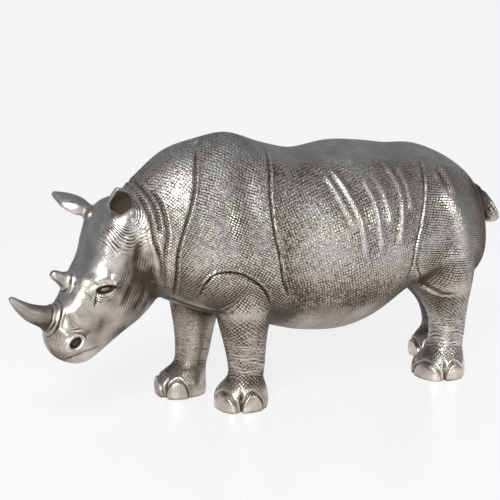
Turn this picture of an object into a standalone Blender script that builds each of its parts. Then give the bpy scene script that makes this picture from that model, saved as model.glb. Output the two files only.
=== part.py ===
"""Rhinoceros figurine, cast in one piece and finished in antique silver.

The animal stands with its right foreleg a short step ahead and its right hind leg a step behind.
Its head hangs low and is turned a little to its own left. It faces -X, its left side is -Y, and
its soles stand on Z = 0. The origin is under the middle of its outer box.

The form is free, so every number in the tables is a share of the figure's height: the shoulder
hump is 165 parts high. Masses are lofted, melted into one skin, softened where they meet, and
then the folds of the hide, the ribs, the face and the toes are carved into that skin.
"""

import math

import bmesh
import bpy
import numpy as np
from mathutils import Matrix, Vector

HEIGHT = 0.165
PART = HEIGHT / 165

GRAIN = 1.1
RING_POINTS = 40
TRIANGLES = 9600
SOFTENING = 26
HAUNCH_SOFTENING = 60

UP = Vector((0, 0, 1))


def clear_scene():
    for thing in list(bpy.data.objects):
        bpy.data.objects.remove(thing)


def smooth_steps(table, step):
    """Rows of a table of stations, with smooth in-between rows about one step of the first column apart."""
    rows = np.array(table, float)
    found = []
    for i in range(len(rows) - 1):
        before = rows[max(i - 1, 0)]
        a, b = rows[i], rows[i + 1]
        after = rows[min(i + 2, len(rows) - 1)]
        gap = b[0] - a[0]
        slope_a = (b - before) / (b[0] - before[0]) * gap
        slope_b = (after - a) / (after[0] - a[0]) * gap
        count = max(1, round(abs(gap) / step))
        for k in range(count):
            t = k / count
            found.append(
                a * (1 + t * t * (2 * t - 3))
                + b * t * t * (3 - 2 * t)
                + slope_a * t * (1 - t) ** 2
                - slope_b * t * t * (1 - t)
            )
    found.append(rows[-1])
    return found


def superellipse(angle, square):
    """Cosine and sine of an angle, pushed outwards towards a square."""
    c, s = math.cos(angle), math.sin(angle)
    power = 2 / square
    return math.copysign(abs(c) ** power, c), math.copysign(abs(s) ** power, s)


def section(half_width, above, below, square_above, square_below):
    """A closed section as (sideways, upwards) pairs, round its widest level."""
    points = []
    for k in range(RING_POINTS):
        angle = 2 * math.pi * k / RING_POINTS
        upper = math.sin(angle) >= 0
        c, s = superellipse(angle, square_above if upper else square_below)
        points.append((half_width * c, (above if upper else below) * s))
    return points


def loft(name, rings):
    """A closed skin over rings of points, each ring bridged to the next."""
    bm = bmesh.new()
    last = None
    for ring in rings:
        made = bmesh.ops.create_circle(bm, segments=RING_POINTS, radius=1)["verts"]
        for vert, point in zip(made, ring):
            vert.co = point
        edges = list({e for v in made for e in v.link_edges})
        if last:
            bmesh.ops.bridge_loops(bm, edges=last + edges)
        last = edges
    bmesh.ops.holes_fill(bm, edges=bm.edges, sides=0)
    bmesh.ops.recalc_face_normals(bm, faces=bm.faces)
    mesh = bpy.data.meshes.new(name)
    bm.to_mesh(mesh)
    bm.free()
    made = bpy.data.objects.new(name, mesh)
    bpy.context.scene.collection.objects.link(made)
    return made


# Trunk: station along X, belly, level of greatest width, back, half width, squareness above and below.
TRUNK = (
    (-113, 88, 104, 122, 13, 2.0, 2.0),
    (-105, 81, 103, 130.4, 22, 1.9, 2.0),
    (-91, 74, 101, 144, 30.5, 1.85, 2.1),
    (-76, 66, 98, 155.8, 36, 1.8, 2.2),
    (-56, 58, 94, 162, 41, 1.75, 2.3),
    (-37, 53, 92, 165, 43.5, 1.7, 2.3),
    (-16, 46, 91, 158.8, 46, 1.8, 2.2),
    (7, 39.5, 90, 154.3, 50, 1.95, 2.1),
    (35, 37.5, 91, 158.2, 52, 2.0, 2.1),
    (55, 43.5, 92, 157.4, 51, 2.0, 2.1),
    (77, 58, 94, 155, 47.5, 2.0, 2.2),
    (95, 63, 95, 154.6, 46, 2.0, 2.2),
    (112, 59, 94, 149.4, 43.5, 1.95, 2.2),
    (126, 58, 91, 142.5, 38, 1.95, 2.1),
    (138, 62, 89, 134, 30, 1.95, 2.1),
    (145.6, 70, 89, 124, 20, 2.0, 2.0),
    (149, 80, 90, 109, 9, 2.0, 2.0),
)

# Legs: height, centre along X and Y, half length along X, half width along Y, squareness.
# The first two rows are the sole and its rim, and the last row is inside the trunk.
LEGS = {
    "left_fore": (
        (-1.5, -36, -19, 14.8, 13.8, 2.5),
        (3, -36, -19, 15.6, 14.6, 2.6),
        (10, -35.5, -19, 15, 14, 2.5),
        (14, -34.5, -19, 13, 12.6, 2.3),
        (18.5, -33.5, -19.3, 10.8, 10.8, 2.1),
        (25, -33, -19.6, 11.2, 11.4, 2.0),
        (38, -34, -20, 12.8, 13.2, 2.0),
        (50, -35.5, -21.5, 15, 14.8, 2.0),
        (64, -36, -23, 18.5, 16.5, 2.0),
        (80, -36, -24, 21, 16, 2.0),
        (96, -36, -22, 17, 12, 2.0),
    ),
    "right_fore": (
        (-1.5, -60, 20, 14.6, 13.6, 2.5),
        (3, -60, 20, 15.4, 14.4, 2.6),
        (10, -59.5, 20, 14.8, 13.8, 2.5),
        (14, -57, 20, 12.8, 12.4, 2.3),
        (18.5, -54, 20, 10.6, 10.6, 2.1),
        (25, -52, 20.5, 10.8, 11, 2.0),
        (38, -50.5, 21, 12.4, 12.8, 2.0),
        (50, -49.2, 22, 14.8, 14.6, 2.0),
        (64, -47.6, 23, 18.2, 16, 2.0),
        (80, -45, 24, 20.5, 15.5, 2.0),
        (96, -42, 22, 17, 12, 2.0),
    ),
    "left_hind": (
        (-1.5, 109, -23, 15.4, 14.4, 2.5),
        (3, 109, -23, 16.2, 15.2, 2.6),
        (10, 109.5, -23, 15.6, 14.6, 2.5),
        (15, 111.5, -22.5, 13.6, 13, 2.3),
        (20, 113.5, -22, 11.8, 11.8, 2.1),
        (28, 114.8, -22, 11.6, 12, 2.0),
        (40, 114.4, -22.5, 12.4, 13.2, 2.0),
        (52, 110.8, -23.5, 16.2, 16, 2.0),
        (66, 106, -25, 22.5, 18.5, 2.0),
        (84, 103, -26, 26, 19, 2.0),
        (104, 102, -22, 22, 14, 2.0),
    ),
    "right_hind": (
        (-1.5, 134, 16, 15.4, 14.4, 2.5),
        (3, 134, 16, 16.2, 15.2, 2.6),
        (10, 134, 16, 15.6, 14.6, 2.5),
        (15, 135, 16, 13.8, 13.2, 2.3),
        (20, 137.5, 16.5, 11.8, 12, 2.1),
        (28, 137.5, 17, 11.4, 12.2, 2.0),
        (40, 134.5, 18.5, 12.4, 13.2, 2.0),
        (52, 126.5, 20.5, 16, 15.6, 2.0),
        (66, 114, 23.5, 22.5, 18, 2.0),
        (84, 105, 25.5, 26, 18.5, 2.0),
        (104, 104, 22, 22, 14, 2.0),
    ),
}

# Head: its own frame runs from the poll to the lips, with the brow side up.
NECK_PIVOT = Vector((-90, 0, 0))
HEAD_TURN = math.radians(10)
HEAD_DIP = math.radians(67)
POLL_AHEAD = 22
POLL_HEIGHT = 126
FORWARD = Vector((-math.cos(HEAD_TURN), -math.sin(HEAD_TURN), 0))
LEFTWARD = UP.cross(FORWARD)
MUZZLEWARD = FORWARD * math.cos(HEAD_DIP) - UP * math.sin(HEAD_DIP)
BROWWARD = FORWARD * math.sin(HEAD_DIP) + UP * math.cos(HEAD_DIP)
POLL = NECK_PIVOT + FORWARD * POLL_AHEAD + UP * POLL_HEIGHT


def head_point(along, brow, left):
    """A point of the head's frame, in the figure's own."""
    return POLL + MUZZLEWARD * along + BROWWARD * brow + LEFTWARD * left


# Head: station from the poll, throat, level of greatest width, brow, half width, squareness above and below.
HEAD = (
    (-9, -38, -18, -6, 12, 2.0, 2.0),
    (-2, -47, -17, 2.5, 19.4, 2.4, 2.0),
    (8, -51, -15, 6.2, 22.4, 2.7, 2.0),
    (20, -52, -14, 6, 22, 2.8, 2.1),
    (32, -50.5, -14, 5.2, 20, 2.8, 2.2),
    (44, -47.3, -14, 8, 18.4, 2.5, 2.2),
    (56, -42, -11, 9.6, 16, 2.3, 2.2),
    (66, -34, -8, 11.6, 14.4, 2.3, 2.3),
    (75, -26.5, -6, 12, 15, 2.4, 2.5),
    (82, -20.5, -5, 9.6, 15.4, 2.5, 2.6),
    (88, -15.5, -5, 4.4, 13, 2.5, 2.5),
    (91, -10, -5, 0, 8, 2.2, 2.2),
)

# Horns, in the head's midline: along the head, towards the brow, radius.
FRONT_HORN = (
    (70.6, 5, 9),
    (70.4, 10, 9),
    (70.4, 12.6, 8.2),
    (70.4, 14.6, 6.8),
    (70.5, 21, 5.6),
    (69.8, 26, 4.5),
    (68.4, 31, 3.4),
    (66.6, 35.5, 2.2),
    (65.6, 38, 1.3),
)
REAR_HORN = (
    (48, 4, 7),
    (47.8, 8.6, 6.6),
    (47.6, 11, 5),
    (47.4, 13.6, 4),
    (46.8, 17, 3.1),
    (46.2, 19.8, 1.8),
)

# Ears: root and tip in the head's frame; then share of the length, half width, cup depth, wall.
EARS = {
    "left_ear": ((5, -4, 15.5), (-7.8, 12.6, 27), (0.35, 1.0, 0.25)),
    "right_ear": ((9, -3, -15.5), (3.6, 20.4, -31), (0.75, -1.0, -0.2)),
}
EAR = (
    (0.0, 5.0, 4.5, 4.5),
    (0.22, 6.2, 5.6, 4.0),
    (0.45, 7.8, 5.8, 2.8),
    (0.66, 7.4, 4.6, 2.6),
    (0.84, 5.0, 3.2, 2.6),
    (1.0, 1.6, 1.8, 1.8),
)

# Tail: along X, Y and Z, then its radius.
TAIL = (
    (137, 0, 119, 9.5),
    (145, -5, 117.5, 8),
    (149, -10, 113, 6.6),
    (152, -13, 108.6, 5.6),
    (154.6, -14.5, 103.8, 5.0),
    (155.4, -14.9, 101.4, 4.2),
    (155.8, -15.1, 99.8, 2.6),
)


# Folds of the hide on both flanks, as lines in the side view (X, Z). After each name come the depth of
# the groove, its width, and the height of its lip ahead and behind.
FLANK_FOLDS = (
    ("throat fold", 1.2, 1.9, 0.4, 0.5, ((-99, 134), (-95, 121), (-94, 108), (-91, 97), (-89, 82))),
    ("neck fold", 1.1, 1.9, 0.4, 0.5, ((-93, 138), (-88, 127), (-87, 112), (-89, 98), (-86, 77))),
    (
        "collar fold", 1.9, 2.1, 0.4, 1.3,
        ((-60, 158), (-65, 148), (-70, 132), (-78, 113), (-82, 100), (-82, 84), (-80, 72)),
    ),
    (
        "shoulder plate", 2.0, 2.2, 0.4, 1.3,
        ((-17, 156), (-19, 150), (-25, 130), (-26, 112), (-24, 98), (-21, 81), (-14, 67)),
    ),
    (
        "thigh plate", 1.9, 2.1, 0.3, 1.2,
        ((87, 147), (84, 140), (80, 127), (73, 109), (68, 94), (66, 80), (64, 72)),
    ),
    ("hip crease", 1.1, 2.6, 0.3, 0.8, ((96, 141), (98, 132), (99, 122))),
    ("thigh hem", 1.6, 2.0, 1.4, 0.0, ((69, 92), (72, 80), (80, 71), (90, 64), (98, 60), (107, 59), (114, 60))),
)
ELBOW_GROOVE = (1.9, 2.0, 0.2, 1.5)
LEFT_ELBOW_FOLD = ((-69, 72), (-66, 83), (-60, 88), (-50, 88), (-40, 83), (-31, 75), (-25, 64))
RIGHT_ELBOW_FOLD = ((-80, 72), (-76, 83), (-69, 88), (-59, 88), (-50, 83), (-41, 75), (-35, 64))
CHEST_GROOVE = (1.6, 1.9, 0.0, 1.3)
CHEST_FOLD = ((-86, 74), (-79, 71), (-71, 67), (-60, 63), (-50, 62))

# Ribs, the rib plate's hem and the haunch stand proud. Each row: rise, width, line in the side view.
RIDGES = (
    (1.2, 1.9, ((13, 139), (18, 128), (20, 118), (24, 111))),
    (1.3, 1.8, ((20, 139), (23, 127), (27, 116), (27, 102))),
    (1.1, 1.8, ((36, 134), (39, 118), (39, 99))),
    (1.0, 1.8, ((43, 135), (46, 123), (46, 104))),
    (1.4, 2.0, ((59, 140), (60, 128), (57, 115), (51, 98))),
    (0.8, 1.8, ((67, 136), (66, 122), (62, 110))),
    (0.8, 3.5, ((-20, 72), (-8, 67), (6, 65), (24, 66))),
)
HAUNCH = (1.9, 5.0, ((72, 76), (84, 79), (98, 85)))
SHOULDER_VALLEY = (1.6, 7.0, ((-35, 156), (-40, 134), (-43, 112), (-41, 96)))
RUMP_CLEFT = (4.5, 4.5)

# The head's own side view (along, towards the brow) places the face, alike on both sides. Ridges stand
# proud by a rise and a width, and folds are cut by a depth, a width and two lips.
FACE_RIDGES = (
    ("heavy brow", 1.9, 2.6, ((44.5, 0.5), (41.5, -1), (40, -4.5), (40, -8), (42, -12))),
    ("nostril rim", 1.2, 2.0, ((78, 5), (73, 3), (72, -2), (75, -6), (81, -7))),
    ("muzzle ridge", 0.9, 1.5, ((73, 10), (74.5, 7), (76, 4))),
)
FACE_FOLDS = (
    ("mouth", 1.2, 1.2, 0.4, 0.4, ((90, 1), (86, -2.5), (82, -7), (79, -12), (76, -16.5))),
    ("muzzle hollow", 0.9, 2.2, 0.0, 0.0, ((64, 8), (68, 3), (71, -2), (73, -7))),
    ("cheek fold", 0.8, 2.2, 0.4, 0.4, ((56, -20), (46, -20), (34, -20), (22, -15), (12, -12))),
    ("jaw fold", 0.8, 2.2, 0.4, 0.4, ((54, -29), (43, -30), (33, -28), (23, -23))),
)
EYE = (45.6, -6.6)
EYE_HALF_SIZE = (2.6, 4.0)
SOCKET_DEPTH = 1.0
SOCKET_SPREAD = 1.6
LID_CREASE_DEPTH = 2.2
LID_CREASE_SPREAD = 0.5
NOSTRIL = (78.4, -0.8)
NOSTRIL_RADIUS = 2.8
NOSTRIL_DEPTH = 3.2

# Feet: centre along X and Y, direction of the middle toe, radius.
FEET = {
    "left_fore": (-36, -19, 196, 15.6),
    "right_fore": (-60, 20, 164, 15.4),
    "left_hind": (109, -23, 200, 16.2),
    "right_hind": (134, 16, 164, 16.2),
}
TOES = ((0, 40), (76, 27), (-76, 27))
CLEFTS = (48, -48)
NAIL_HEIGHT = 11.5
NAIL_RISE = 1.5
CLEFT_DEPTH = 2.2
CLEFT_WIDTH = 1.7


def trunk():
    rings = []
    for x, belly, widest, back, half, above, below in smooth_steps(TRUNK, 4):
        shape = section(half, back - widest, widest - belly, above, below)
        rings.append([Vector((x, side, widest + up)) * PART for side, up in shape])
    return loft("trunk", rings)


def leg(name):
    rings = []
    for z, x, y, half_x, half_y, square in smooth_steps(LEGS[name], 3):
        shape = section(half_x, half_y, half_y, square, square)
        rings.append([Vector((x + side, y + up, z)) * PART for side, up in shape])
    return loft(name, rings)


def head():
    rings = []
    for along, throat, widest, brow, half, above, below in smooth_steps(HEAD, 3):
        shape = section(half, brow - widest, widest - throat, above, below)
        rings.append([head_point(along, widest + up, side) * PART for side, up in shape])
    return loft("head", rings)


def horn(name, path):
    """A round tapered horn along a curved line in the head's midline."""
    numbered = [(10 * i, *row) for i, row in enumerate(path)]
    rows = [row[1:] for row in smooth_steps(numbered, 4)]
    rings = []
    for i, (along, brow, radius) in enumerate(rows):
        before, after = rows[max(i - 1, 0)], rows[min(i + 1, len(rows) - 1)]
        run = Vector((after[0] - before[0], after[1] - before[1])).normalized()
        ring = []
        for side, up in section(radius, radius, radius, 2, 2):
            ring.append(head_point(along - run.y * up, brow + run.x * up, side) * PART)
        rings.append(ring)
    return loft(name, rings)


def ear(name):
    """A cupped ear, open towards the front and the outside."""
    root, tip, open_to = EARS[name]
    base = head_point(*root)
    length = head_point(*tip) - base
    facing = FORWARD * open_to[0] + LEFTWARD * open_to[1] + UP * open_to[2]
    across = length.cross(facing).normalized()
    facing = across.cross(length).normalized()
    rings = []
    for share, half, depth, wall in smooth_steps(EAR, 0.06):
        middle = base + length * share
        ring = []
        for k in range(RING_POINTS):
            t = 4 * k / RING_POINTS
            if t <= 2:
                angle = math.pi * t / 2
                point = across * half * math.cos(angle) - facing * depth * math.sin(angle)
            else:
                angle = math.pi * (4 - t) / 2
                inner = max(half - wall * 0.7, 0.2)
                point = across * inner * math.cos(angle) - facing * (depth - wall) * math.sin(angle)
                point += facing * wall * 0.25
            ring.append((middle + point) * PART)
        rings.append(ring)
    return loft(name, rings)


def tail():
    rows = [row[1:] for row in smooth_steps([(10 * i, *row) for i, row in enumerate(TAIL)], 4)]
    rings = []
    for i, (x, y, z, radius) in enumerate(rows):
        before, after = rows[max(i - 1, 0)], rows[min(i + 1, len(rows) - 1)]
        run = Vector(after[:3]) - Vector(before[:3])
        side = run.cross(UP).normalized()
        top = side.cross(run).normalized()
        ring = [(Vector((x, y, z)) + side * a + top * b) * PART for a, b in section(radius, radius, radius, 2, 2)]
        rings.append(ring)
    return loft("tail", rings)


def joined(pieces):
    """One object that holds every piece's mesh."""
    bm = bmesh.new()
    for piece in pieces:
        bm.from_mesh(piece.data)
        bpy.data.objects.remove(piece)
    mesh = bpy.data.meshes.new("rhinoceros")
    bm.to_mesh(mesh)
    bm.free()
    made = bpy.data.objects.new("rhinoceros", mesh)
    bpy.context.scene.collection.objects.link(made)
    return made


def settled(figure):
    """The figure's mesh as its modifiers leave it, with the modifiers gone."""
    graph = bpy.context.evaluated_depsgraph_get()
    mesh = bpy.data.meshes.new_from_object(figure.evaluated_get(graph))
    figure.modifiers.clear()
    figure.data = mesh


def ramp(value, low, high):
    """Nought below low, one above high, smooth in between."""
    t = np.clip((value - low) / (high - low), 0, 1)
    return t * t * (3 - 2 * t)


def line_distance(points, line):
    """Distance of points to a broken line, on which side of it they are, and a fade at its ends."""
    line = np.array(smooth_steps([(10 * i, *p) for i, p in enumerate(line)], 3))[:, 1:]
    best = np.full(len(points), 1e9)
    side = np.zeros(len(points))
    share = np.zeros(len(points))
    for i in range(len(line) - 1):
        run = line[i + 1] - line[i]
        reach = points - line[i]
        t = np.clip(reach @ run / (run @ run), 0, 1)
        gap = reach - t[:, None] * run
        distance = np.hypot(gap[:, 0], gap[:, 1])
        closer = distance < best
        best = np.where(closer, distance, best)
        side = np.where(closer, np.sign(run[0] * reach[:, 1] - run[1] * reach[:, 0]), side)
        share = np.where(closer, (i + t) / (len(line) - 1), share)
    fade = ramp(share, 0.0, 0.12) * (1 - ramp(share, 0.88, 1.0))
    return best, side, fade


def ridge(points, rise, width, line):
    """Outward movement that raises a soft ridge along a line."""
    distance, _, fade = line_distance(points, line)
    return rise * np.exp(-((distance / width) ** 2)) * fade


def groove(points, line, depth, width, lip_right=0.0, lip_left=0.0):
    """Outward movement that cuts a groove along a line, with a soft lip on either side."""
    distance, side, fade = line_distance(points, line)
    move = -depth * np.exp(-((distance / width) ** 2))
    lip = np.exp(-(((distance - 1.9 * width) / (1.5 * width)) ** 2))
    move += np.where(side > 0, lip_left, lip_right) * lip
    return move * fade


def head_places(spots):
    """Places in the head's own frame: along, towards the brow, to the left."""
    axes = np.array([MUZZLEWARD, BROWWARD, LEFTWARD])
    return (spots - np.array(POLL)) @ axes.T


def toe_relief(spots, foot):
    """Outward movement that raises the three nails of a foot and cuts the clefts between the toes."""
    x, y, heading, radius = FEET[foot]
    away = spots[:, :2] - (x, y)
    reach = np.hypot(away[:, 0], away[:, 1])
    turn = np.degrees(np.arctan2(away[:, 1], away[:, 0])) - heading
    turn = (turn + 180) % 360 - 180
    z = spots[:, 2]
    near = ramp(reach, 6, 10) * (1 - ramp(reach, radius + 6, radius + 10))
    move = np.zeros(len(spots))
    for middle, half in TOES:
        rim = np.sqrt(((turn - middle) / half) ** 2 + (np.clip(z, 0, None) / NAIL_HEIGHT) ** 2)
        move += NAIL_RISE * (1 - ramp(rim, 0.86, 1.04))
    for middle in CLEFTS:
        across = np.radians(turn - middle) * radius
        move -= CLEFT_DEPTH * np.exp(-((across / CLEFT_WIDTH) ** 2)) * (1 - ramp(z, 13, 19))
    return move * near


def carve(figure):
    """Moves the skin in and out along its normals: folds, ribs, eyes, nostrils, mouth and toes."""
    mesh = figure.data
    count = len(mesh.vertices)
    spots = np.empty(count * 3)
    mesh.vertices.foreach_get("co", spots)
    spots = spots.reshape(count, 3) / PART
    normals = np.empty(count * 3, np.float32)
    mesh.vertices.foreach_get("normal", normals)
    normals = normals.reshape(count, 3)

    in_head = head_places(spots)
    along, brow, left = in_head.T
    is_head = (1 - ramp(brow - 0.2 * along, 14, 18)) * ramp(along, 2, 8) * ramp(brow, -50, -44)
    is_head = is_head * (1 - ramp(spots[:, 0], -96, -92))
    flank = spots[:, [0, 2]]
    is_trunk = ramp(spots[:, 0], -106, -98) * ramp(spots[:, 2], 50, 58)

    move = np.zeros(count)
    for name, depth, width, lip_front, lip_rear, line in FLANK_FOLDS:
        move += groove(flank, line, depth, width, lip_front, lip_rear) * is_trunk
    for rise, width, line in RIDGES:
        move += ridge(flank, rise, width, line)
    outside = ramp(np.abs(spots[:, 1]), 18, 28)
    move += ridge(flank, *HAUNCH) * outside
    depth, width, line = SHOULDER_VALLEY
    valley, _, _ = line_distance(flank, line)
    ends = ramp(spots[:, 2], 92, 126) * (1 - ramp(spots[:, 2], 138, 160))
    move -= depth * np.exp(-((valley / width) ** 2)) * ends
    left_elbow = groove(flank, LEFT_ELBOW_FOLD, *ELBOW_GROOVE)
    right_elbow = groove(flank, RIGHT_ELBOW_FOLD, *ELBOW_GROOVE)
    move += np.where(spots[:, 1] < 0, left_elbow, right_elbow) * outside
    move += groove(flank, CHEST_FOLD, *CHEST_GROOVE) * ramp(spots[:, 2], 56, 60)
    depth, width = RUMP_CLEFT
    cleft = depth * np.exp(-((spots[:, 1] / width) ** 2)) * ramp(spots[:, 0], 118, 136)
    move -= cleft * ramp(spots[:, 2], 50, 62) * (1 - ramp(spots[:, 2], 84, 104))

    face = in_head[:, :2]
    beside = ramp(np.abs(left), 4, 9)
    eye = np.hypot((along - EYE[0]) / EYE_HALF_SIZE[0], (brow - EYE[1]) / EYE_HALF_SIZE[1])
    nostril = np.hypot(along - NOSTRIL[0], brow - NOSTRIL[1])
    face_move = -LID_CREASE_DEPTH * np.exp(-(((eye - 1) / LID_CREASE_SPREAD) ** 2))
    face_move -= SOCKET_DEPTH * np.exp(-((eye / SOCKET_SPREAD) ** 2))
    face_move -= NOSTRIL_DEPTH * np.exp(-((nostril / NOSTRIL_RADIUS) ** 2))
    for name, rise, width, line in FACE_RIDGES:
        face_move += ridge(face, rise, width, line)
    for name, depth, width, lip_below, lip_above, line in FACE_FOLDS:
        face_move += groove(face, line, depth, width, lip_below, lip_above)
    move += face_move * beside * is_head

    for foot in FEET:
        move += toe_relief(spots, foot)

    spots += normals * move[:, None]
    mesh.vertices.foreach_set("co", (spots * PART).ravel())
    mesh.update()


def sponge_down(figure, weight, rounds):
    """Softens the skin where the weight is high."""
    group = figure.vertex_groups.new(name="soft")
    for level in range(21):
        chosen = np.nonzero(np.round(weight * 20) == level)[0].tolist()
        group.add(chosen, level / 20, "REPLACE")
    smooth = figure.modifiers.new("soften", "SMOOTH")
    smooth.factor = 0.5
    smooth.iterations = round(rounds)
    smooth.vertex_group = "soft"
    settled(figure)
    figure.vertex_groups.clear()


def soften(figure):
    """Blends the masses into each other, most where legs and neck meet the trunk, and least at the tips."""
    spots = np.array([v.co for v in figure.data.vertices]) / PART
    along, brow, left = head_places(spots).T
    tips = np.maximum(ramp(brow - 0.25 * along, 3, 6), ramp(np.abs(left), 19, 23) * (1 - ramp(along, 18, 26)))
    head_tips = tips * (1 - ramp(spots[:, 0], -100, -95))
    weight = (1 - head_tips) * (0.25 + 0.75 * ramp(spots[:, 2], 22, 40))
    sponge_down(figure, weight * (1 - 0.8 * ramp(spots[:, 0], 148, 152)), SOFTENING)

    spots = np.array([v.co for v in figure.data.vertices]) / PART
    haunch = ramp(spots[:, 0], 62, 74) * (1 - ramp(spots[:, 0], 118, 132)) * ramp(spots[:, 2], 66, 76)
    haunch = haunch * (1 - ramp(spots[:, 2], 100, 112)) * ramp(np.abs(spots[:, 1]), 18, 28)
    sponge_down(figure, haunch, HAUNCH_SOFTENING)


def fewer_faces(figure):
    """Keeps the form with no more triangles than the casting is allowed."""
    mesh = figure.data
    mesh.calc_loop_triangles()
    fewer = figure.modifiers.new("fewer", "DECIMATE")
    fewer.ratio = TRIANGLES / len(mesh.loop_triangles)
    settled(figure)


def flat_soles(figure):
    """Cuts the feet off level with the table."""
    bm = bmesh.new()
    bm.from_mesh(figure.data)
    parts = bm.verts[:] + bm.edges[:] + bm.faces[:]
    cut = bmesh.ops.bisect_plane(
        bm, geom=parts, dist=1e-7, plane_co=(0, 0, 0), plane_no=(0, 0, -1), clear_outer=True
    )
    rims = [e for e in cut["geom_cut"] if isinstance(e, bmesh.types.BMEdge)]
    bmesh.ops.holes_fill(bm, edges=rims, sides=0)
    bmesh.ops.triangulate(bm, faces=bm.faces)
    bmesh.ops.recalc_face_normals(bm, faces=bm.faces)
    bm.to_mesh(figure.data)
    bm.free()


def centred(figure):
    """Puts the origin under the middle of the figure's outer box."""
    spots = np.array([v.co for v in figure.data.vertices])
    middle = (spots.min(axis=0) + spots.max(axis=0)) / 2
    figure.data.transform(Matrix.Translation((-middle[0], -middle[1], 0)))


def silver_finish(figure):
    material = bpy.data.materials.new("antique_silver")
    material.use_nodes = True
    shader = material.node_tree.nodes["Principled BSDF"]
    shader.inputs["Base Color"].default_value = (0.46, 0.44, 0.41, 1)
    shader.inputs["Metallic"].default_value = 1.0
    shader.inputs["Roughness"].default_value = 0.36
    figure.data.materials.append(material)


def main():
    clear_scene()
    masses = [trunk(), head(), horn("front_horn", FRONT_HORN), horn("rear_horn", REAR_HORN), tail()]
    masses += [ear(name) for name in EARS]
    masses += [leg(name) for name in LEGS]
    figure = joined(masses)
    clay = figure.modifiers.new("clay", "REMESH")
    clay.mode = "VOXEL"
    clay.voxel_size = GRAIN * PART
    settled(figure)
    soften(figure)
    carve(figure)
    fewer_faces(figure)
    flat_soles(figure)
    centred(figure)
    silver_finish(figure)
    figure.data.shade_smooth()


main()
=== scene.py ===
import math

import bmesh
import bpy
import numpy as np
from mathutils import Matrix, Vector


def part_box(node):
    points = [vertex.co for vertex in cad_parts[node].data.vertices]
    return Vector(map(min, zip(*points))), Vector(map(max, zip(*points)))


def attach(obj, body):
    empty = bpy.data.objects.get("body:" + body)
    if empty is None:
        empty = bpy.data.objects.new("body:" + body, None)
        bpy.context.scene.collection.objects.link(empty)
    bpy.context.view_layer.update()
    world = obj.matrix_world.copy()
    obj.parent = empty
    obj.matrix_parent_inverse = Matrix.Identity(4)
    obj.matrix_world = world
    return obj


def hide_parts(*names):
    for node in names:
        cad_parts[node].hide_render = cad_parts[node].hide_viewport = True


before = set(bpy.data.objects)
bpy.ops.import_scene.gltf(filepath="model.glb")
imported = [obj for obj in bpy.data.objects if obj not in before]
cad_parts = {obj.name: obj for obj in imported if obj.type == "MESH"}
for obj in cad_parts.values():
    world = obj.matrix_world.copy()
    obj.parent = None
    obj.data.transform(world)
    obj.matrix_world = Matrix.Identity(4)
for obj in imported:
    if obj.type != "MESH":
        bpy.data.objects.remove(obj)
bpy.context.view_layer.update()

# The trunk. The figurine is one hollow resin casting with a silver finish, and its modeller first
# built up the masses in clay. The trunk is one mass from nape to rump: a high shoulder hump, a
# dip behind it, a deep belly and a rounded rump. Sizes are in parts, 165 to the figure's height.
low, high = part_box("rhinoceros")
part = (high.z - low.z) / 164.93
nose_room = low.x / part + 171.88
ring_points = 56
up = Vector((0, 0, 1))

trunk_stations = (
    (-113, 88, 104, 122, 13, 2.0, 2.0),
    (-105, 81, 103, 130.4, 22, 1.9, 2.0),
    (-91, 74, 101, 144, 30.5, 1.85, 2.1),
    (-76, 66, 98, 155.8, 36, 1.8, 2.2),
    (-56, 58, 94, 162, 41, 1.75, 2.3),
    (-37, 53, 92, 165, 43.5, 1.7, 2.3),
    (-16, 46, 91, 158.8, 46, 1.8, 2.2),
    (7, 39.5, 90, 154.3, 50, 1.95, 2.1),
    (35, 37.5, 91, 158.2, 52, 2.0, 2.1),
    (55, 43.5, 92, 157.4, 51, 2.0, 2.1),
    (77, 58, 94, 155, 47.5, 2.0, 2.2),
    (95, 63, 95, 154.6, 46, 2.0, 2.2),
    (112, 59, 94, 149.4, 43.5, 1.95, 2.2),
    (126, 58, 91, 142.5, 38, 1.95, 2.1),
    (138, 62, 89, 134, 30, 1.95, 2.1),
    (145.6, 70, 89, 124, 20, 2.0, 2.0),
    (149, 80, 90, 109, 9, 2.0, 2.0),
)


def smooth_steps(table, step):
    """Rows of a table of stations, with smooth in-between rows about a step of the first column apart."""
    rows = np.array(table, float)
    found = []
    for i in range(len(rows) - 1):
        before = rows[max(i - 1, 0)]
        a, b = rows[i], rows[i + 1]
        after = rows[min(i + 2, len(rows) - 1)]
        gap = b[0] - a[0]
        slope_a = (b - before) / (b[0] - before[0]) * gap
        slope_b = (after - a) / (after[0] - a[0]) * gap
        count = max(1, round(abs(gap) / step))
        for k in range(count):
            t = k / count
            found.append(
                a * (1 + t * t * (2 * t - 3))
                + b * t * t * (3 - 2 * t)
                + slope_a * t * (1 - t) ** 2
                - slope_b * t * t * (1 - t)
            )
    found.append(rows[-1])
    return found


def section(half_width, above, below, square_above, square_below):
    """A closed section as (sideways, upwards) pairs, from a circle pushed towards a square."""
    pairs = []
    for k in range(ring_points):
        angle = 2 * math.pi * k / ring_points
        c, s = math.cos(angle), math.sin(angle)
        power = 2 / (square_above if s >= 0 else square_below)
        across = math.copysign(abs(c) ** power, c)
        rise = math.copysign(abs(s) ** power, s)
        pairs.append((half_width * across, (above if s >= 0 else below) * rise))
    return pairs


clay = bmesh.new()


def loft(rings):
    """Adds a closed skin over rings of points, given in parts, to the clay."""
    last = None
    ends = []
    for number, ring in enumerate(rings):
        made = bmesh.ops.create_circle(clay, segments=ring_points, radius=1)["verts"]
        for vert, point in zip(made, ring):
            vert.co = Vector(point)
        edges = list({e for v in made for e in v.link_edges})
        if last:
            bmesh.ops.bridge_loops(clay, edges=last + edges)
        if number in (0, len(rings) - 1):
            ends += edges
        last = edges
    bmesh.ops.holes_fill(clay, edges=ends, sides=0)


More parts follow.
